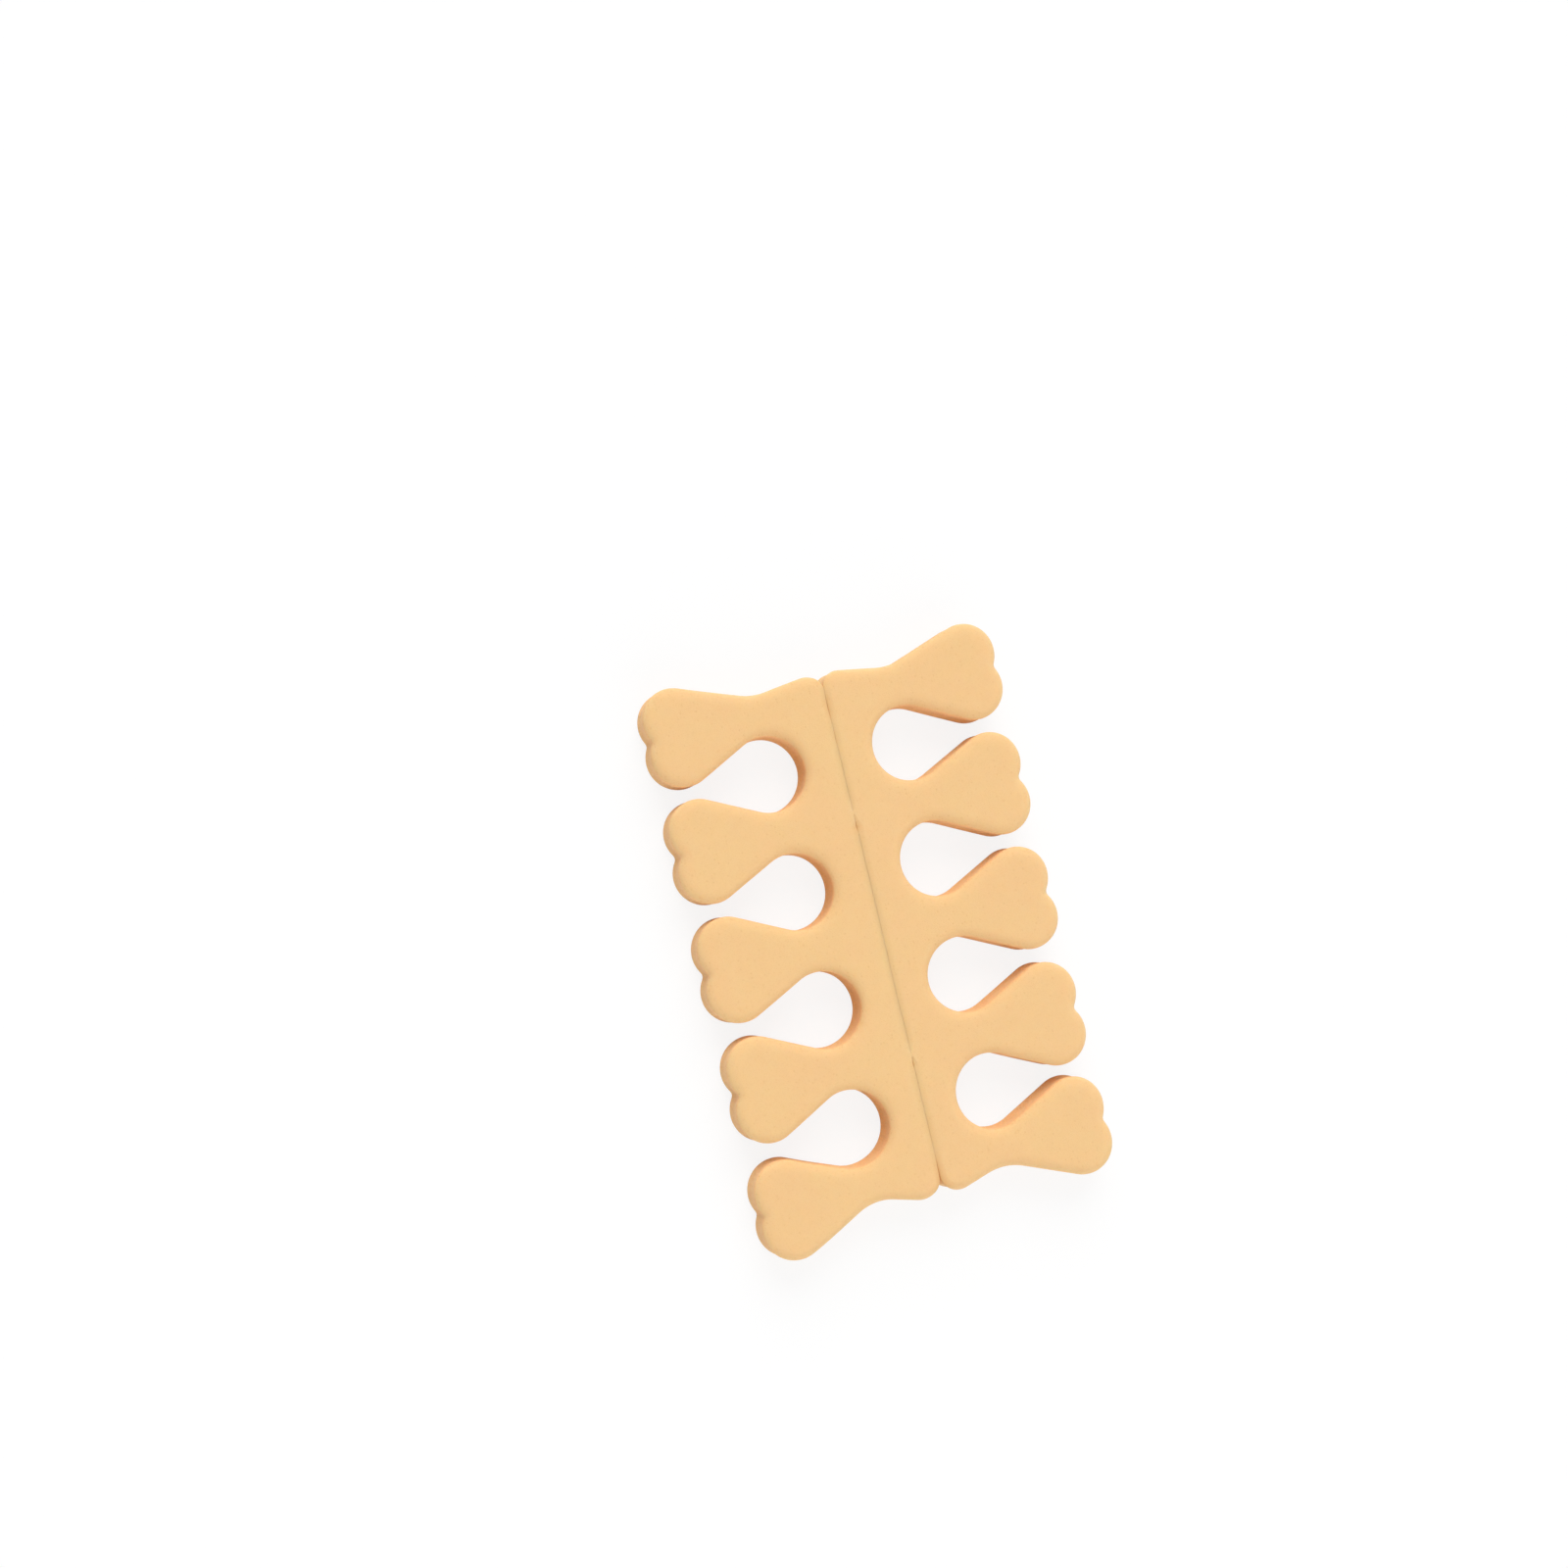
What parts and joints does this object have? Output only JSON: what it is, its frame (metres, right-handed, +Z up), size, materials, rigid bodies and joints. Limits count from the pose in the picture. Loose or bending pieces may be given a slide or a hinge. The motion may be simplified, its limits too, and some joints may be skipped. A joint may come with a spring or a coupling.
{
  "type": "toe separator",
  "caption": "Die-cut foam toe separator: a mirrored pair still joined along its centre seam, with heart-ended lobes and keyhole toe openings.",
  "frame": {"origin": "middle of the underside, on the seam, at the height of the surface it lies on", "axes": "+Z up through the sheet, Y along the seam between the two halves, X along the lobes"},
  "size_m": [0.0618, 0.095, 0.008],
  "materials": {
    "foam": "matt, fine-celled foam"
  },
  "bodies": {
    "root": {"separator_pair": "foam"}
  },
  "joints": []
}
